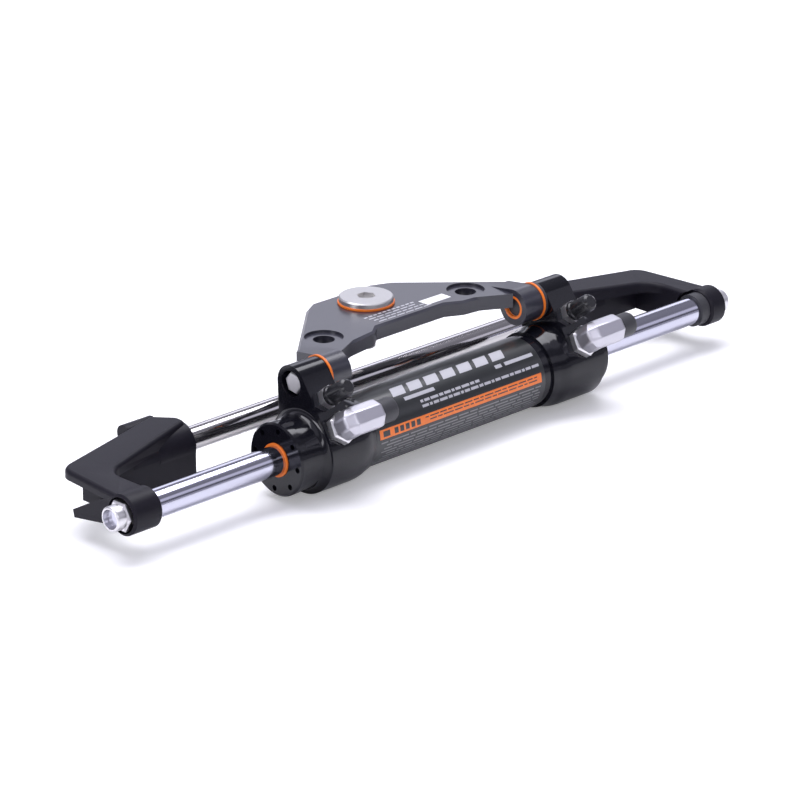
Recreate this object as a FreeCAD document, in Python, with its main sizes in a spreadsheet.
import FreeCAD, Part
import math
import os
import Sketcher

# Hydraulic steering cylinder for an outboard engine, in millimetres.
# X runs along the chromed piston shaft, Y points back to the engine, Z points up.
# The origin is the middle of the support rod's axis; the cylinder stands at mid stroke.
# Each piece is drawn about the piston shaft's axis and set forward by the distance between the two.

doc = FreeCAD.newDocument("steering_cylinder")
sheet = doc.addObject("Spreadsheet::Sheet", "sizes")

SIZES = {
    # Piston shaft, its studs and lock nuts
    "shaft_radius": 9.525,
    "stud_in_boss": 12.0,
    "stud_radius": 6.35,
    "stud_beyond_boss": 5.5,
    "stud_chamfer": 1.2,
    "nut_corner_radius": 10.5,
    "nut_hex_height": 8.0,
    "nut_collar_radius": 8.2,
    "nut_collar_height": 7.0,
    "spacer_radius": 11.3,
    # Support rod and its nuts
    "rod_radius": 7.9375,
    "rod_back": 65.0,
    "rod_stud_radius": 5.0,
    "rod_stud_length": 11.0,
    "rod_nut_corner_radius": 8.6,
    "rod_nut_height": 8.0,
    "rod_nut_room": 1.0,
    "rod_nut_pocket": 12.0,
    # Piston and seals
    "piston_gap": 0.2,
    "piston_length": 24.0,
    "piston_seal_width": 4.0,
    "piston_seal_depth": 3.2,
    "piston_seal_offset": 6.0,
    "seal_gap": 0.05,
    # Cylinder body
    "bore_radius": 17.5,
    "barrel_radius": 24.2,
    "barrel_left_end": 79.5,
    "barrel_right_end": 84.5,
    "barrel_collar": 1.6,
    "ear_round_radius": 28.5,
    "neck_radius": 23.7,
    "left_neck_end": 136.5,
    "right_neck_end": 133.5,
    # Pivot ears
    "left_ear_face": 120.5,
    "right_ear_face": 102.5,
    "ear_width": 23.5,
    "left_round_width": 26.0,
    "right_round_width": 28.5,
    "flare_length": 11.5,
    "pivot_back": 9.75,
    "pivot_clearance": 0.85,
    "pivot_boss_radius": 12.3,
    # Pivot bolts, spacer and bushes
    "pivot_bolt_radius": 6.3,
    "pivot_bolt_short": 2.0,
    "pivot_head_corner_radius": 7.5,
    "pivot_head_height": 6.0,
    "pivot_recess_radius": 8.6,
    "pivot_recess_depth": 8.0,
    "running_fit": 0.05,
    "seat_gap": 0.02,
    "bush_wall": 1.65,
    "bush_flange_radius": 13.0,
    "bush_flange_thickness": 1.5,
    "pivot_spacer_length": 2.9,
    # End glands, wipers and rod seals
    "gland_radius": 24.3,
    "gland_flange": 6.5,
    "gland_spigot_radius": 20.0,
    "gland_spigot_length": 13.5,
    "gland_nose_radius": 15.5,
    "gland_chamfer": 1.2,
    "piston_stop": 112.0,
    "gland_pin_hole_radius": 1.9,
    "gland_pin_hole_depth": 3.5,
    "gland_pin_circle": 19.5,
    "gland_pin_count": 8,
    "gland_pin_start": 5.0,
    "shaft_fit": 0.1,
    "wiper_radius": 11.1,
    "wiper_depth": 5.0,
    "wiper_lip": 0.9,
    "rod_seal_radius": 13.0,
    "rod_seal_length": 6.0,
    "rod_seal_back": 9.0,
    "ring_section": 2.4,
    "ring_back": 6.0,
    # Link plate
    "link_barrel_length": 16.5,
    "link_barrel_radius": 12.3,
    "link_centre": 0.7,
    "plate_top": 52.0,
    "plate_thickness": 9.8,
    "plate_front": 28.8,
    "plate_shoulder": 31.0,
    "plate_right_corner": 30.0,
    "plate_side_end": 84.0,
    "plate_back": 88.0,
    "plate_back_half_width": 30.5,
    "plate_left_side": 37.2,
    "plate_right_side": 40.3,
    "arch_left": 26.7,
    "arch_right": 35.3,
    "arch_left_bend": 35.2,
    "arch_right_bend": 47.3,
    "arch_bend_back": 22.5,
    "arch_step": 60.7,
    "arch_left_step_back": 18.5,
    "arch_right_step_back": 21.0,
    "plate_bevel": 2.0,
    "arm_round": 3.0,
    "plate_hole_radius": 7.1,
    "plate_recess_radius": 12.8,
    "plate_recess_depth": 1.8,
    "plate_hole_half_spacing": 65.0,
    "plate_hole_back": 38.3,
    # Tiller pivot
    "tiller_back": 66.0,
    "tiller_head_radius": 18.2,
    "tiller_head_thickness": 3.5,
    "tiller_socket_corner_radius": 6.4,
    "tiller_socket_depth": 2.4,
    "tiller_stem_radius": 9.5,
    "tiller_pin_radius": 6.35,
    "tiller_pin_length": 21.0,
    "tiller_bush_wall": 2.0,
    "tiller_flange_radius": 18.9,
    "tiller_flange_thickness": 1.5,
    # Bleeders
    "bleeder_up": 22.6,
    "bleeder_hex_corner_radius": 7.4,
    "bleeder_hex_height": 5.0,
    "bleeder_thread_radius": 3.2,
    "bleeder_depth": 12.0,
    "bleeder_nipple_radius": 3.4,
    "bleeder_nipple_length": 14.0,
    "bleeder_cap_radius": 5.9,
    "bleeder_cap_rim_radius": 6.6,
    "bleeder_cap_length": 19.0,
    # Hose elbows
    "elbow_up": 1.5,
    "elbow_nut_corner_radius": 10.8,
    "elbow_nut_height": 5.5,
    "elbow_thread_radius": 5.2,
    "elbow_thread_depth": 8.0,
    "elbow_half_width": 9.3,
    "elbow_rise": 14.5,
    "elbow_run": 20.0,
    "elbow_facet": 5.45,
    "elbow_hole_radius": 4.5,
    "elbow_hole_depth": 22.0,
    "port_cap_radius": 8.0,
    "port_cap_length": 13.5,
    "port_cap_plug_length": 8.0,
    # Label
    "label_thickness": 0.15,
    "label_left": 78.0,
    "label_right": 77.5,
    "label_wrap": 230.0,
    "label_back_turn": 25.0,
    # Support brackets
    "boss_radius": 13.4,
    "boss_outer": 272.0,
    "boss_chamfer": 1.5,
    "nut_pocket_radius": 11.7,
    "nut_pocket_depth": 6.0,
    "boss_width": 23.0,
    "spacer_length": 8.0,
    "arm_under": 5.5,
    "arm_wall": 6.0,
    "arm_wall_drop": 11.0,
    "bracket_length": 107.0,
    "bracket_front": 5.0,
    "bracket_front_slant": 23.5,
    "bracket_back": 17.0,
    "bracket_end_back": 3.0,
    "bracket_corner_in": 10.0,
    "bracket_tip_in": 6.5,
    "bracket_tip_before": 1.0,
    "bracket_top_end": 16.8,
    "bracket_top_tip": 11.4,
    "bracket_elbow_round": 16.0,
    "bracket_corner_round": 4.0,
    "bracket_tip_round": 12.0,
    "bracket_edge_round": 3.0,
    "bracket_foot": 28.5,
    "bracket_wall": 5.0,
    "hub_radius": 14.9,
    "hub_length": 52.0,
    "hub_round_length": 30.0,
    "skirt_half_width": 14.5,
    "cavity_roof": 13.0,
    "lug_radius": 6.2,
    "lug_height": 9.5,
    "lug_in": 9.0,
    "lug_length": 24.0,
    "fin_in": 1.5,
    "fin_thickness": 9.0,
    "fin_reach": 47.0,
    "fin_drop": 10.0,
    "fin_edge": 5.0,
}

for row, (alias, value) in enumerate(SIZES.items(), start=1):
    cell = "B%d" % row
    sheet.set("A%d" % row, alias.replace("_", " "))
    sheet.set(cell, repr(value))
    sheet.setAlias(cell, alias)
doc.recompute()


class Size:
    """A length or angle that knows its number now and its formula over the sheet."""

    def __init__(self, value, text):
        self.value = value
        self.text = text

    def combine(self, other, sign, work, swap=False):
        other = as_size(other)
        first, second = (other, self) if swap else (self, other)
        return Size(work(first.value, second.value), "(%s %s %s)" % (first.text, sign, second.text))

    def __add__(self, other):
        return self.combine(other, "+", lambda a, b: a + b)

    def __radd__(self, other):
        return self.combine(other, "+", lambda a, b: a + b, True)

    def __sub__(self, other):
        return self.combine(other, "-", lambda a, b: a - b)

    def __rsub__(self, other):
        return self.combine(other, "-", lambda a, b: a - b, True)

    def __mul__(self, other):
        return self.combine(other, "*", lambda a, b: a * b)

    def __rmul__(self, other):
        return self.combine(other, "*", lambda a, b: a * b, True)

    def __truediv__(self, other):
        return self.combine(other, "/", lambda a, b: a / b)

    def __neg__(self):
        return Size(-self.value, "(0 - %s)" % self.text)


def as_size(value):
    if isinstance(value, Size):
        return value
    return Size(float(value), "%.9g" % value if value >= 0 else "(0 - %.9g)" % -value)


def size(alias):
    return Size(float(sheet.get(alias)), "sizes." + alias)


def root_of(value):
    return Size(math.sqrt(value.value), "sqrt(%s)" % value.text)


def sine(angle):
    return Size(math.sin(math.radians(angle.value)), "sin(%s)" % angle.text)


def cosine(angle):
    return Size(math.cos(math.radians(angle.value)), "cos(%s)" % angle.text)


def arc_tangent(value):
    return Size(math.degrees(math.atan(value.value)), "(atan(%s) / 1 deg)" % value.text)


def arc_sine(value):
    return Size(math.degrees(math.asin(value.value)), "(asin(%s) / 1 deg)" % value.text)


PARTS = []


def part_body(label):
    body = doc.addObject("PartDesign::Body", label)
    body.Label = label
    place(body, back=0)
    PARTS.append(body)
    return body


def plane_of(body, role):
    for feature in body.Origin.OriginFeatures:
        if feature.Role == role:
            return feature
    raise ValueError(role)


def sketch_on(body, role, offset=None):
    sketch = body.newObject("Sketcher::SketchObject", body.Name + "_profile")
    sketch.AttachmentSupport = [(plane_of(body, role), "")]
    sketch.MapMode = "FlatFace"
    if offset is not None:
        sketch.setExpression(".AttachmentOffset.Base.z", as_size(offset).text)
    return sketch


def pin_point(sketch, geometry, end, across, up):
    for kind, axis, place in (("DistanceX", -2, as_size(across)), ("DistanceY", -1, as_size(up))):
        if place.text == "0":
            sketch.addConstraint(Sketcher.Constraint("PointOnObject", geometry, end, axis))
            continue
        index = sketch.addConstraint(Sketcher.Constraint(kind, -1, 1, geometry, end, place.value))
        sketch.setExpression("Constraints[%d]" % index, place.text)


def draw_outline(sketch, corners):
    """A closed outline of straight lines; every corner is tied to the sheet."""
    places = [(as_size(across), as_size(up)) for across, up in corners]
    lines = []
    for index, (across, up) in enumerate(places):
        next_across, next_up = places[(index + 1) % len(places)]
        start = FreeCAD.Vector(across.value, up.value, 0)
        end = FreeCAD.Vector(next_across.value, next_up.value, 0)
        lines.append(sketch.addGeometry(Part.LineSegment(start, end)))
    for index, line in enumerate(lines):
        following = lines[(index + 1) % len(lines)]
        sketch.addConstraint(Sketcher.Constraint("Coincident", line, 2, following, 1))
    for line, (across, up) in zip(lines, places):
        pin_point(sketch, line, 1, across, up)
    return sketch


def draw_circle(sketch, across, up, radius):
    across, up, radius = as_size(across), as_size(up), as_size(radius)
    centre = FreeCAD.Vector(across.value, up.value, 0)
    circle = sketch.addGeometry(Part.Circle(centre, FreeCAD.Vector(0, 0, 1), radius.value))
    index = sketch.addConstraint(Sketcher.Constraint("Radius", circle, radius.value))
    sketch.setExpression("Constraints[%d]" % index, radius.text)
    pin_point(sketch, circle, 3, across, up)
    return sketch


def hexagon(corner_radius, turn=0):
    corners = []
    for step in range(6):
        angle = as_size(60 * step + turn)
        corners.append((corner_radius * cosine(angle), corner_radius * sine(angle)))
    return corners


def revolve(body, corners, axis="H_Axis"):
    sketch = draw_outline(sketch_on(body, "XZ_Plane"), corners)
    feature = body.newObject("PartDesign::Revolution", body.Name + "_turning")
    feature.Profile = sketch
    feature.ReferenceAxis = (sketch, [axis])
    feature.Angle = 360
    body.Tip = feature
    return feature


def pad(body, sketch, length):
    feature = body.newObject("PartDesign::Pad", body.Name + "_pad")
    feature.Profile = sketch
    feature.setExpression("Length", as_size(length).text)
    body.Tip = feature
    return feature


def pocket(body, sketch, length):
    """Cuts on the side that the sketch's normal points to."""
    feature = body.newObject("PartDesign::Pocket", body.Name + "_pocket")
    feature.Profile = sketch
    feature.setExpression("Length", as_size(length).text)
    feature.Reversed = True
    body.Tip = feature
    doc.recompute()
    if feature.Shape.isNull() or feature.Shape.Volume >= feature.BaseFeature.Shape.Volume - 1e-6:
        raise RuntimeError("a cut in %s removes nothing" % body.Label)
    return feature


def edges_where(feature, test):
    names = []
    for index, edge in enumerate(feature.Shape.Edges, start=1):
        if test(edge):
            names.append("Edge%d" % index)
    return names


def dress(body, kind, names, amount):
    """A fillet or a chamfer on the named edges of the body's last feature."""
    if not names:
        raise RuntimeError("no edge to dress on %s" % body.Label)
    base = body.Tip
    feature = body.newObject("PartDesign::" + kind, body.Name + "_" + kind.lower())
    feature.Base = (base, names)
    feature.setExpression("Radius" if kind == "Fillet" else "Size", as_size(amount).text)
    body.Tip = feature
    return feature


def place(body, across=None, back=0, up=None, tilt=None):
    """Puts a body at its seat, given from the shaft's axis; tilt turns it about X, in degrees."""
    for axis, amount in (("x", across), ("y", as_size(back) - rod_back), ("z", up)):
        if amount is not None:
            body.setExpression(".Placement.Base." + axis, as_size(amount).text)
    if tilt is not None:
        body.Placement = FreeCAD.Placement(body.Placement.Base, FreeCAD.Vector(1, 0, 0), 10)
        body.setExpression(".Placement.Rotation.Angle", as_size(tilt).text)
        body.setExpression(".Placement.Rotation.Axis.x", "1")


def ring(label, inner, outer, start, end):
    """A plain turned ring on the shaft's axis between two stations of X."""
    body = part_body(label)
    revolve(body, [(start, inner), (end, inner), (end, outer), (start, outer)])
    return body


# Stations and fits shared by several pieces
shaft_radius = size("shaft_radius")
rod_back = size("rod_back")
barrel_radius = size("barrel_radius")
bore_radius = size("bore_radius")
ear_radius = size("ear_round_radius")
pivot_boss = size("pivot_boss_radius")
pivot_back = size("pivot_back")
pivot_height = ear_radius + size("pivot_clearance") + size("bush_flange_radius")
fit = size("running_fit")
seat_gap = size("seat_gap")
ear_width = size("ear_width")
left_ear_start = -size("left_ear_face")
left_ear_end = left_ear_start + ear_width
right_ear_start = size("right_ear_face")
right_ear_end = right_ear_start + ear_width
left_gland_back = -size("left_neck_end")
right_gland_back = size("right_neck_end")
boss_outer = size("boss_outer")
nut_seat = boss_outer - size("nut_pocket_depth")
arm_inner = boss_outer - size("boss_width")
bracket_end = boss_outer - size("bracket_length")
hub_end = bracket_end + size("hub_length")
rod_shoulder = hub_end - size("rod_nut_pocket")
bush_flange = size("bush_flange_thickness")
bush_radius = size("pivot_bolt_radius") + fit + size("bush_wall")
link_start = left_ear_end + fit + bush_flange
link_end = right_ear_start - size("pivot_spacer_length") - fit - bush_flange
link_barrel = size("link_barrel_length")
plate_top = size("plate_top")
plate_bottom = plate_top - size("plate_thickness")
tiller_bush_radius = size("tiller_stem_radius") + fit + size("tiller_bush_wall")

# The flat front of each ear leans back; it touches both the round and the pivot boss.
pivot_reach = root_of(pivot_back * pivot_back + pivot_height * pivot_height)
flat_lean = arc_tangent(pivot_back / pivot_height) + arc_sine((ear_radius - pivot_boss) / pivot_reach)
out_y, out_z = -cosine(flat_lean), sine(flat_lean)
up_y, up_z = sine(flat_lean), cosine(flat_lean)


def on_flat(rise, along):
    """Y and Z of a point above an ear's flat; along is measured up the flat."""
    reach = ear_radius + rise
    return out_y * reach + up_y * along, out_z * reach + up_z * along


def ear_centres():
    return {"left": left_ear_start + ear_width / 2, "right": right_ear_start + ear_width / 2}


def disc(body, start, across, up, radius, length):
    return pad(body, draw_circle(sketch_on(body, "YZ_Plane", start), across, up, radius), length)


def bore(body, start, across, up, radius, length):
    return pocket(body, draw_circle(sketch_on(body, "YZ_Plane", start), across, up, radius), length)


def slab(body, role, start, corners, length):
    return pad(body, draw_outline(sketch_on(body, role, start), corners), length)


# Piston shaft: a chromed bar with a threaded stud at each end
def make_shaft():
    body = part_body("piston_shaft")
    shoulder = boss_outer - size("stud_in_boss")
    reach = boss_outer + size("stud_beyond_boss")
    stud = size("stud_radius")
    chamfer = size("stud_chamfer")
    revolve(body, [
        (-reach, 0), (-reach, stud - chamfer), (-reach + chamfer, stud), (-shoulder, stud),
        (-shoulder, shaft_radius), (shoulder, shaft_radius), (shoulder, stud),
        (reach - chamfer, stud), (reach, stud - chamfer), (reach, 0)])


# Lock nuts: a hexagon with a round crimped collar, seated in the pocket of the boss
def make_shaft_nut(label, side):
    body = part_body(label)
    hex_height = size("nut_hex_height")
    collar = size("nut_collar_height")
    radius = size("nut_collar_radius")
    slab(body, "YZ_Plane", span(side, nut_seat, hex_height), hexagon(size("nut_corner_radius")), hex_height)
    doc.recompute()
    tip = (nut_seat.value + hex_height.value) * side
    dress(body, "Chamfer", edges_where(body.Tip, lambda edge: edge.BoundBox.XLength < 0.01
                                       and abs(edge.BoundBox.XMin - tip) < 0.01), 0.8)
    disc(body, span(side, nut_seat + hex_height, collar), 0, 0, radius, collar)
    doc.recompute()
    rim = (nut_seat.value + hex_height.value + collar.value) * side
    dress(body, "Fillet", edges_where(body.Tip, lambda edge: edge.BoundBox.XLength < 0.01
                                      and abs(edge.BoundBox.XMin - rim) < 0.01), 1.4)
    whole = hex_height + collar
    bore(body, span(side, nut_seat, whole), 0, 0, size("stud_radius") + seat_gap, whole)


def span(side, near, length):
    """Where a pad along +X starts when it covers near to near + length on the given side."""
    return near if side > 0 else -near - length


# Support rod: the stainless bar that lies in the engine's tilt tube, nutted at both ends
def make_support_rod():
    body = part_body("support_rod")
    stud = size("rod_stud_radius")
    end = rod_shoulder + size("rod_stud_length")
    radius = size("rod_radius")
    revolve(body, [(-end, 0), (-end, stud), (-rod_shoulder, stud), (-rod_shoulder, radius),
                   (rod_shoulder, radius), (rod_shoulder, stud), (end, stud), (end, 0)])
    place(body, back=rod_back)


def make_rod_nut(label, side):
    body = part_body(label)
    height = size("rod_nut_height")
    start = span(side, rod_shoulder, height)
    slab(body, "YZ_Plane", start, hexagon(size("rod_nut_corner_radius"), 30), height)
    bore(body, start, 0, 0, size("rod_stud_radius") + seat_gap, height)
    place(body, back=rod_back)


# Piston with two square grooves, each filled by its seal
def make_piston():
    body = part_body("piston")
    half = size("piston_length") / 2
    radius = bore_radius - size("piston_gap")
    floor = radius - size("piston_seal_depth")
    inner = size("piston_seal_offset") - size("piston_seal_width") / 2
    outer = size("piston_seal_offset") + size("piston_seal_width") / 2
    hole = shaft_radius + seat_gap
    revolve(body, [
        (-half, hole), (half, hole), (half, radius), (outer, radius), (outer, floor),
        (inner, floor), (inner, radius), (-inner, radius), (-inner, floor), (-outer, floor),
        (-outer, radius), (-half, radius)])
    lip = bore_radius - size("seal_gap")
    ring("piston_seal_left", floor + seat_gap, lip, -outer + seat_gap, -inner - seat_gap)
    ring("piston_seal_right", floor + seat_gap, lip, inner + seat_gap, outer - seat_gap)


# Cylinder body: barrel, necks and the two pivot ears in one piece
def make_cylinder_body():
    body = part_body("cylinder_body_blank")
    PARTS.remove(body)
    spigot = size("gland_spigot_radius") + seat_gap
    spigot_length = size("gland_spigot_length")
    neck = size("neck_radius")
    collar = barrel_radius + size("barrel_collar")
    left_barrel = -size("barrel_left_end")
    right_barrel = size("barrel_right_end")
    left_round = left_ear_start + size("left_round_width")
    right_round = right_ear_start + size("right_round_width")
    flare = size("flare_length")
    cove = ear_radius - neck
    swell = ear_radius - collar
    profile = [
        (left_gland_back, spigot), (left_gland_back + spigot_length, spigot),
        (left_gland_back + spigot_length, bore_radius), (right_gland_back - spigot_length, bore_radius),
        (right_gland_back - spigot_length, spigot), (right_gland_back, spigot),
        (right_gland_back, neck), (right_round, ear_radius), (right_ear_start, ear_radius)]
    for share in (0.25, 0.5, 0.75):
        turn = as_size(90 * share)
        profile.append((right_ear_start - flare * sine(turn), collar + swell * cosine(turn)))
    profile += [(right_barrel, collar), (right_barrel, barrel_radius), (left_barrel, barrel_radius),
                (left_barrel, collar)]
    for share in (0.75, 0.5, 0.25):
        turn = as_size(90 * share)
        profile.append((left_round + flare * sine(turn), collar + swell * cosine(turn)))
    profile += [(left_round, ear_radius), (left_ear_start, ear_radius)]
    for share in (0.25, 0.5, 0.75):
        turn = as_size(90 * share)
        profile.append((left_ear_start - cove * (1 - cosine(turn)), neck + cove * (1 - sine(turn))))
    profile += [(left_ear_start - cove, neck), (left_gland_back, neck)]
    revolve(body, profile)
    web_floor = spigot + 1
    web = [
        (out_y * ear_radius, out_z * ear_radius),
        (pivot_back + out_y * pivot_boss, pivot_height + out_z * pivot_boss),
        (pivot_back, pivot_height), (pivot_back + pivot_boss, pivot_height),
        (web_floor, bore_radius), (0, web_floor)]
    for start in (left_ear_start, right_ear_start):
        slab(body, "YZ_Plane", start, web, ear_width)
        disc(body, start, pivot_back, pivot_height, pivot_boss, ear_width)
    depth = size("pivot_recess_depth")
    for start, recess in ((left_ear_start, left_ear_start), (right_ear_start, right_ear_end - depth)):
        bore(body, start, pivot_back, pivot_height, size("pivot_bolt_radius") + seat_gap, ear_width)
        bore(body, recess, pivot_back, pivot_height, size("pivot_recess_radius"), depth)
    return body


# The ports run square to the leaning flats, so they are drilled by tilted cylinders.
def drill_ports(blank):
    cutters = []
    wall = ear_radius - bore_radius
    ports = ((size("elbow_up"), size("elbow_thread_radius"), wall + 3),
             (size("bleeder_up"), size("bleeder_thread_radius"), size("bleeder_depth")))
    for centre in ear_centres().values():
        for along, radius, depth in ports:
            cutter = doc.addObject("Part::Cylinder", "port_drill")
            cutter.setExpression("Radius", (radius + seat_gap).text)
            cutter.setExpression("Height", (depth + 3).text)
            back, up = on_flat(-depth, along)
            place(cutter, centre, back, up, 90 - flat_lean)
            cutters.append(cutter)
    drills = doc.addObject("Part::MultiFuse", "port_drills")
    drills.Shapes = cutters
    finished = doc.addObject("Part::Cut", "cylinder_body")
    finished.Base = blank
    finished.Tool = drills
    PARTS.append(finished)


# Screwed end glands: flange with pin-spanner holes, spigot, and a nose that stops the piston
def make_gland(name, side, back):
    body = part_body("gland_" + name)
    spigot = size("gland_spigot_radius")
    outer = size("gland_radius")
    chamfer = size("gland_chamfer")
    nose = size("gland_nose_radius")
    stop = side * size("piston_stop")
    clear = shaft_radius + size("shaft_fit")
    wiper = size("wiper_radius") + seat_gap
    seal = size("rod_seal_radius") + seat_gap
    face = back + side * size("gland_flange")
    spigot_end = back - side * size("gland_spigot_length")
    wiper_floor = face - side * size("wiper_depth")
    seal_near = face - side * size("rod_seal_back")
    seal_far = seal_near - side * size("rod_seal_length")
    ring_near = back - side * size("ring_back")
    ring_far = ring_near - side * size("ring_section")
    ring_floor = spigot - size("ring_section")
    revolve(body, [
        (stop, clear), (seal_far, clear), (seal_far, seal), (seal_near, seal), (seal_near, clear),
        (wiper_floor, clear), (wiper_floor, wiper), (face, wiper), (face, outer - chamfer),
        (face - side * chamfer, outer), (back, outer), (back, spigot), (ring_near, spigot),
        (ring_near, ring_floor), (ring_far, ring_floor), (ring_far, spigot), (spigot_end, spigot),
        (spigot_end, nose), (stop, nose)])
    profile = body.Tip.Profile[0]
    depth = size("gland_pin_hole_depth")
    start = face if side < 0 else face - depth
    angle = size("gland_pin_start")
    circle = size("gland_pin_circle")
    hole = bore(body, start, circle * cosine(angle), circle * sine(angle), size("gland_pin_hole_radius"), depth)
    pattern = body.newObject("PartDesign::PolarPattern", body.Name + "_pin_holes")
    pattern.Originals = [hole]
    pattern.Axis = (profile, ["H_Axis"])
    pattern.Angle = 360
    pattern.setExpression("Occurrences", "sizes.gland_pin_count")
    body.Tip = pattern
    lip = face + side * size("wiper_lip")
    rub = shaft_radius + fit
    ring("rod_wiper_" + name, rub, size("wiper_radius"), wiper_floor + side * seat_gap, lip)
    ring("rod_seal_" + name, rub, size("rod_seal_radius"), seal_far + side * seat_gap,
         seal_near - side * seat_gap)
    ring("gland_ring_" + name, ring_floor + seat_gap, spigot, ring_far + side * seat_gap,
         ring_near - side * seat_gap)


# Pivot bolts hold the link between the ears; their heads sit in the bosses' recesses.
def make_pivot_bolt(name, side):
    body = part_body("pivot_bolt_" + name)
    depth = size("pivot_recess_depth")
    head = size("pivot_head_height")
    if side < 0:
        seat = left_ear_start + depth
        tip = link_start + link_barrel - size("pivot_bolt_short")
    else:
        seat = right_ear_end - depth
        tip = link_end - link_barrel + size("pivot_bolt_short")
    head_start = seat - head if side < 0 else seat
    slab(body, "YZ_Plane", head_start, hexagon(size("pivot_head_corner_radius"), 10), head)
    shank_start, shank_end = (seat, tip) if side < 0 else (tip, seat)
    disc(body, shank_start, 0, 0, size("pivot_bolt_radius"), shank_end - shank_start)
    doc.recompute()
    crown = (seat.value + side * head.value)
    dress(body, "Chamfer", edges_where(body.Tip, lambda edge: edge.BoundBox.XLength < 0.01
                                       and abs(edge.BoundBox.XMin - crown) < 0.01), 0.7)
    place(body, back=pivot_back, up=pivot_height)


# Flanged bushes between the link's barrels and the bolts
def make_pivot_bush(name, side):
    body = part_body("pivot_bush_" + name)
    inner = size("pivot_bolt_radius") + fit
    flange = size("bush_flange_radius")
    end = link_start if side < 0 else link_end
    face = end + side * bush_flange
    inside = end - side * link_barrel
    revolve(body, [(face, inner), (inside, inner), (inside, bush_radius), (end, bush_radius),
                   (end, flange), (face, flange)])
    place(body, back=pivot_back, up=pivot_height)


def make_pivot_spacer():
    body = part_body("pivot_shim_right")
    start = right_ear_start - size("pivot_spacer_length")
    inner = size("pivot_bolt_radius") + seat_gap
    revolve(body, [(start, inner), (right_ear_start, inner), (right_ear_start, pivot_boss),
                   (start, pivot_boss)])
    place(body, back=pivot_back, up=pivot_height)


# Link plate: a bridge of one piece from barrel to barrel, open in front between its arms
def make_link_plate():
    body = part_body("link_plate")
    middle = size("link_centre")
    front = size("plate_front")
    shoulder = size("plate_shoulder")
    right_corner = size("plate_right_corner")
    step = size("arch_step")
    bend_back = size("arch_bend_back")
    back = size("plate_back")
    side_end = size("plate_side_end")
    back_half = size("plate_back_half_width")
    radius = size("link_barrel_radius")
    left_inside = link_start + link_barrel
    right_inside = link_end - link_barrel
    outline = [
        (link_start, pivot_back), (link_start, shoulder), (middle - size("plate_left_side"), side_end),
        (middle - back_half, back), (middle + back_half, back),
        (middle + size("plate_right_side"), side_end), (link_end, right_corner), (link_end, pivot_back),
        (right_inside, pivot_back), (middle + step, size("arch_right_step_back")),
        (middle + size("arch_right_bend"), bend_back), (middle + size("arch_right"), front),
        (middle - size("arch_left"), front), (middle - size("arch_left_bend"), bend_back),
        (middle - step, size("arch_left_step_back")), (left_inside, pivot_back)]
    slab(body, "XY_Plane", plate_bottom, outline, size("plate_thickness"))
    doc.recompute()
    top, rear = plate_top.value, side_end.value

    def on_slanted_rim(edge):
        box = edge.BoundBox
        on_top = box.ZLength < 0.01 and abs(box.ZMin - top) < 0.01
        return on_top and box.YMax > rear - 0.1 and box.YLength > 1

    dress(body, "Chamfer", edges_where(body.Tip, on_slanted_rim), size("plate_bevel"))
    doc.recompute()
    limit = front.value

    def on_front_rim(edge):
        box = edge.BoundBox
        on_top = box.ZLength < 0.01 and abs(box.ZMin - top) < 0.01
        return on_top and box.YMax < limit + 0.01 and box.YMin > pivot_back.value + 0.1

    dress(body, "Chamfer", edges_where(body.Tip, on_front_rim), size("arm_round") / 2)
    for start, root in ((link_start, shoulder), (right_inside, right_corner)):
        lean = arc_sine((pivot_height + radius - plate_top) / (root - pivot_back))
        slab(body, "YZ_Plane", start, [
            (pivot_back + radius * sine(lean), pivot_height + radius * cosine(lean)),
            (root, plate_top), (root, plate_bottom), (pivot_back + radius, plate_bottom - 4),
            (pivot_back, pivot_height)], link_barrel)
        disc(body, start, pivot_back, pivot_height, radius, link_barrel)
    for start in (link_start, right_inside):
        bore(body, start, pivot_back, pivot_height, bush_radius + seat_gap, link_barrel)
    hole_back = size("plate_hole_back")
    half = size("plate_hole_half_spacing")
    recess = size("plate_recess_depth")
    for across in (middle - half, middle + half):
        sketch = draw_circle(sketch_on(body, "XY_Plane", plate_bottom), across, hole_back,
                             size("plate_hole_radius"))
        pocket(body, sketch, size("plate_thickness"))
        sketch = draw_circle(sketch_on(body, "XY_Plane", plate_top - recess), across, hole_back,
                             size("plate_recess_radius"))
        pocket(body, sketch, recess)
    sketch = draw_circle(sketch_on(body, "XY_Plane", plate_bottom), middle, size("tiller_back"),
                         tiller_bush_radius + seat_gap)
    pocket(body, sketch, size("plate_thickness"))


# Tiller pivot: a flat-headed bolt in a flanged bush; its pin takes the engine's tiller arm
def make_tiller():
    head_bottom = plate_top + size("tiller_flange_thickness")
    head_top = head_bottom + size("tiller_head_thickness")
    head = size("tiller_head_radius")
    stem = size("tiller_stem_radius")
    pin = size("tiller_pin_radius")
    pin_bottom = plate_bottom - size("tiller_pin_length")
    middle = size("link_centre")
    back = size("tiller_back")
    bush = part_body("tiller_bush")
    flange = size("tiller_flange_radius")
    revolve(bush, [(stem + fit, plate_bottom), (tiller_bush_radius, plate_bottom),
                   (tiller_bush_radius, plate_top), (flange, plate_top), (flange, head_bottom),
                   (stem + fit, head_bottom)], axis="V_Axis")
    place(bush, middle, back)
    bolt = part_body("tiller_pivot_bolt")
    revolve(bolt, [(0, pin_bottom), (pin - 1, pin_bottom), (pin, pin_bottom + 1), (pin, plate_bottom),
                   (stem, plate_bottom), (stem, head_bottom), (head, head_bottom),
                   (head, head_top - 0.8), (head - 0.8, head_top), (0, head_top)], axis="V_Axis")
    depth = size("tiller_socket_depth")
    socket = draw_outline(sketch_on(bolt, "XY_Plane", head_top - depth),
                          hexagon(size("tiller_socket_corner_radius")))
    pocket(bolt, socket, depth)
    place(bolt, middle, back)


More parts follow.
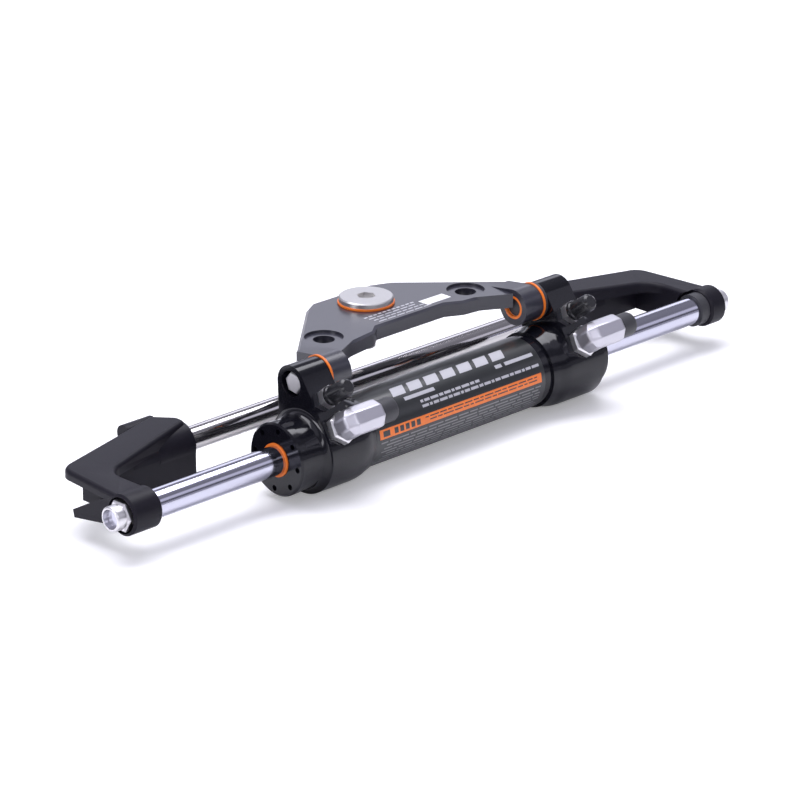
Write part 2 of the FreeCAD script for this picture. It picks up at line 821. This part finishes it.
# Bleeders stand on the flats: a hexagon with a threaded stem, under a rubber cap
def make_bleeder(name, centre):
    along = size("bleeder_up")
    height = size("bleeder_hex_height")
    nipple = size("bleeder_nipple_radius")
    thread = size("bleeder_thread_radius")
    screw = part_body("bleeder_" + name)
    slab(screw, "XY_Plane", None, hexagon(size("bleeder_hex_corner_radius"), 15), height)
    base = draw_circle(sketch_on(screw, "XY_Plane", -size("bleeder_depth")), 0, 0, thread)
    pad(screw, base, size("bleeder_depth"))
    stem_end = height + size("bleeder_nipple_length")
    stem = draw_circle(sketch_on(screw, "XY_Plane", height), 0, 0, nipple)
    pad(screw, stem, size("bleeder_nipple_length"))
    cap = part_body("bleeder_cap_" + name)
    radius = size("bleeder_cap_radius")
    rim = size("bleeder_cap_rim_radius")
    top = height + size("bleeder_cap_length")
    inner = nipple + seat_gap
    lift = height + 0.2
    revolve(cap, [(inner, lift), (rim, lift), (rim, lift + 2.5), (radius, lift + 3.5), (radius, top - 3),
                  (radius - 0.6, top - 1.2), (radius - 2, top), (0, top), (0, stem_end + seat_gap),
                  (inner, stem_end + seat_gap)], axis="V_Axis")
    for body in (screw, cap):
        back, up = on_flat(as_size(0), along)
        place(body, centre, back, up, 90 - flat_lean)


# Hose elbows: a jam nut on the flat, a faceted elbow turned along the barrel, and a shipping cap
def make_elbow(name, centre):
    along = size("elbow_up")
    nut_height = size("elbow_nut_height")
    half = size("elbow_half_width")
    rise = size("elbow_rise")
    run = size("elbow_run")
    thread = size("elbow_thread_radius")
    facet = size("elbow_facet")
    nut = part_body("elbow_nut_" + name)
    slab(nut, "XY_Plane", None, hexagon(size("elbow_nut_corner_radius"), 20), nut_height)
    doc.recompute()
    crown = nut_height.value
    dress(nut, "Chamfer", edges_where(nut.Tip, lambda edge: edge.BoundBox.ZMin > crown - 0.01), 1.0)
    hole = draw_circle(sketch_on(nut, "XY_Plane", None), 0, 0, thread + seat_gap)
    pocket(nut, hole, nut_height)
    elbow = part_body("elbow_" + name)
    outline = [(-half, nut_height), (half, nut_height), (half, rise - half + 1), (run, rise - half + 1),
               (run, rise + half), (-half + facet, rise + half), (-half, rise + half - facet)]
    feature = pad(elbow, draw_outline(sketch_on(elbow, "XZ_Plane", None), outline), 2 * half)
    feature.SideType = "Symmetric"
    doc.recompute()
    side = half.value
    outlet = run.value
    floor = nut_height.value

    def on_long_rim(edge):
        box = edge.BoundBox
        on_side = box.YLength < 0.01 and abs(abs(box.YMin) - side) < 0.01
        return on_side and box.XMin < outlet - 0.01 and box.ZMax > floor + 0.01

    dress(elbow, "Chamfer", edges_where(elbow.Tip, on_long_rim), facet)
    foot = draw_circle(sketch_on(elbow, "XY_Plane", -size("elbow_thread_depth")), 0, 0, thread)
    pad(elbow, foot, nut_height + size("elbow_thread_depth"))
    deep = size("elbow_hole_depth")
    bore(elbow, run - deep, 0, rise, size("elbow_hole_radius"), deep)
    cap = part_body("port_cap_" + name)
    radius = size("port_cap_radius")
    end = run + size("port_cap_length")
    plug = size("elbow_hole_radius") - seat_gap
    plug_start = run - size("port_cap_plug_length")
    revolve(cap, [(plug_start, 0), (plug_start, plug), (run, plug), (run, radius), (end - 2, radius),
                  (end - 0.6, radius - 0.6), (end, radius - 2), (end, 0)])
    for body in (nut, elbow, cap):
        back, up = on_flat(rise if body is cap else as_size(0), along)
        place(body, centre, back, up, 90 - flat_lean)


# Label: a printed skin wrapped round the barrel
def make_label():
    body = part_body("barrel_label")
    inner = barrel_radius + seat_gap
    outer = barrel_radius + size("label_thickness")
    left = -size("label_left")
    right = size("label_right")
    feature = revolve(body, [(left, inner), (right, inner), (right, outer), (left, outer)])
    feature.setExpression("Angle", "sizes.label_wrap")
    place(body, tilt=-size("label_back_turn"))


# Support brackets: sculpted castings from the support rod's hub round to the shaft's boss
def make_bracket(name, side, boss_inner):
    body = part_body("bracket_" + name)
    front = rod_back - size("bracket_front")
    bend = front - size("bracket_front_slant")
    top_end = size("bracket_top_end")
    top_tip = size("bracket_top_tip")
    under = size("arm_under")
    foot = -size("bracket_foot")
    corner = bracket_end + size("bracket_corner_in")
    back = rod_back + size("bracket_back")
    end_back = rod_back + size("bracket_end_back")
    tip = boss_outer - size("bracket_tip_in")
    tip_back = rod_back - size("bracket_tip_before")
    wall = size("bracket_wall")
    whole = hub_end - bracket_end

    def plan(corners):
        return [(side * across, deep) for across, deep in corners]

    slab(body, "XY_Plane", under, plan([
        (bracket_end, front), (arm_inner, bend), (arm_inner, 0), (boss_outer, 0), (tip, tip_back),
        (corner, back), (bracket_end, end_back)]), top_end - under)
    doc.recompute()

    def upright_at(across, deep):
        def test(edge):
            box = edge.BoundBox
            place_x = abs(box.XMin - side * across.value) < 0.01 and box.XLength < 0.01
            return place_x and abs(box.YMin - deep.value) < 0.01 and box.YLength < 0.01
        return test

    rounds = (
        (((arm_inner, bend),), "bracket_elbow_round"),
        (((bracket_end, front), (bracket_end, end_back), (corner, back)), "bracket_corner_round"),
        (((tip, tip_back),), "bracket_tip_round"))
    for places, radius in rounds:
        names = []
        for across, deep in places:
            names += edges_where(body.Tip, upright_at(across, deep))
        dress(body, "Fillet", names, size(radius))
        doc.recompute()
    beyond = boss_outer + 5
    drop_each = (top_end - top_tip) / (boss_outer - bracket_end)
    slope = slab_cut(body, [
        (side * bracket_end, top_end), (side * beyond, top_end - drop_each * (beyond - bracket_end)),
        (side * beyond, top_end + 5), (side * bracket_end, top_end + 5)], 4 * back)
    doc.recompute()

    def on_top_rim(edge):
        for vertex in edge.Vertexes:
            height = top_end.value - drop_each.value * (abs(vertex.X) - bracket_end.value)
            if abs(vertex.Z - height) > 0.02:
                return False
        return edge.BoundBox.YMax > 0.1

    dress(body, "Fillet", edges_where(slope, on_top_rim), size("bracket_edge_round"))
    half = size("skirt_half_width")
    wall_far = arm_inner + size("arm_wall")
    wall_near = rod_back - half
    drop = size("arm_wall_drop")
    slab(body, "XY_Plane", -drop, plan([
        (arm_inner, 0), (wall_far, 0), (wall_far, wall_near + wall), (hub_end, wall_near + wall),
        (hub_end, wall_near), (arm_inner, wall_near)]), under + drop + 0.5)
    hub = size("hub_radius")
    round_length = size("hub_round_length")
    disc(body, span(side, bracket_end, round_length), rod_back, 0, hub, round_length)
    crown = []
    for angle in (0, 15, 30, 45, 52, 128, 135, 150, 165, 180):
        crown.append((rod_back + hub * cosine(as_size(angle)), hub * sine(as_size(angle))))
    slab(body, "YZ_Plane", span(side, bracket_end, whole), crown, whole)
    slab(body, "XY_Plane", foot, plan([(bracket_end, wall_near), (hub_end, wall_near),
                                       (hub_end, rod_back + half), (bracket_end, rod_back + half)]),
         1 - foot)
    inside = half - wall
    cavity = [(bracket_end + wall, rod_back - inside), (hub_end - wall, rod_back - inside),
              (hub_end - wall, rod_back + inside), (bracket_end + wall, rod_back + inside)]
    sketch = draw_outline(sketch_on(body, "XY_Plane", foot), plan(cavity))
    pocket(body, sketch, -foot - size("cavity_roof"))
    lug_start = bracket_end + size("lug_in")
    disc(body, span(side, lug_start, size("lug_length")), back, size("lug_height"),
         size("lug_radius"), size("lug_length"))
    if boss_inner.value > arm_inner.value:
        notch = boss_inner - arm_inner
        bore(body, span(side, arm_inner, notch), 0, 0, size("boss_radius"), notch)
    boss_length = boss_outer - boss_inner
    boss = size("boss_radius")
    bevel = size("boss_chamfer")
    near, far = side * boss_inner, side * boss_outer
    revolve(body, [(near, 0), (near, boss - bevel), (near + side * bevel, boss), (far - side * bevel, boss),
                   (far, boss - bevel), (far, 0)])
    reach = size("fin_reach")
    fin_top = -size("fin_drop")
    fin_low = fin_top - size("fin_edge")
    fin = [(4, 2 - boss), (15, 3 - boss), (reach - 1.3, fin_low),
           (reach, fin_top), (22, under - 1.5), (10, under + 3)]
    thick = size("fin_thickness")
    slab(body, "YZ_Plane", span(side, boss_outer - size("fin_in") - thick, thick), fin, thick)
    bore(body, span(side, bracket_end, whole), rod_back, 0, size("rod_radius") + seat_gap, whole)
    room = size("rod_nut_pocket")
    bore(body, span(side, rod_shoulder, room), rod_back, 0,
         size("rod_nut_corner_radius") + size("rod_nut_room"), room)
    shoulder = boss_outer - size("stud_in_boss") - boss_inner
    bore(body, span(side, boss_inner, shoulder), 0, 0, shaft_radius + seat_gap, shoulder)
    bore(body, span(side, boss_inner, boss_length), 0, 0, size("stud_radius") + seat_gap, boss_length)
    depth = size("nut_pocket_depth")
    bore(body, span(side, nut_seat, depth), 0, 0, size("nut_pocket_radius"), depth)


def slab_cut(body, corners, width):
    feature = body.newObject("PartDesign::Pocket", body.Name + "_slope")
    feature.Profile = draw_outline(sketch_on(body, "XZ_Plane", None), corners)
    feature.setExpression("Length", width.text)
    feature.SideType = "Symmetric"
    body.Tip = feature
    return feature


left_boss = arm_inner
right_boss = arm_inner + size("spacer_length")
make_bracket("left", -1, left_boss)
make_bracket("right", 1, right_boss)
make_shaft()
ring("shaft_spacer", shaft_radius + seat_gap, size("spacer_radius"), left_boss, right_boss)
make_shaft_nut("shaft_nut_left", -1)
make_shaft_nut("shaft_nut_right", 1)
make_support_rod()
make_rod_nut("rod_nut_left", -1)
make_rod_nut("rod_nut_right", 1)
make_piston()
drill_ports(make_cylinder_body())
make_gland("left", -1, left_gland_back)
make_gland("right", 1, right_gland_back)
for name, side in (("left", -1), ("right", 1)):
    make_pivot_bolt(name, side)
    make_pivot_bush(name, side)
    make_bleeder(name, ear_centres()[name])
    make_elbow(name, ear_centres()[name])
make_pivot_spacer()
make_link_plate()
make_tiller()
make_label()
doc.recompute()

for thing in doc.Objects:
    if "Invalid" in thing.State or "Error" in thing.State:
        raise RuntimeError("%s failed" % thing.Label)
for part in PARTS:
    if part.Shape.isNull() or not part.Shape.isValid() or not part.Shape.Solids:
        raise RuntimeError("%s has no sound shape" % part.Label)

os.makedirs("parts", exist_ok=True)
for part in PARTS:
    part.Shape.exportStep("parts/%s.step" % part.Label)
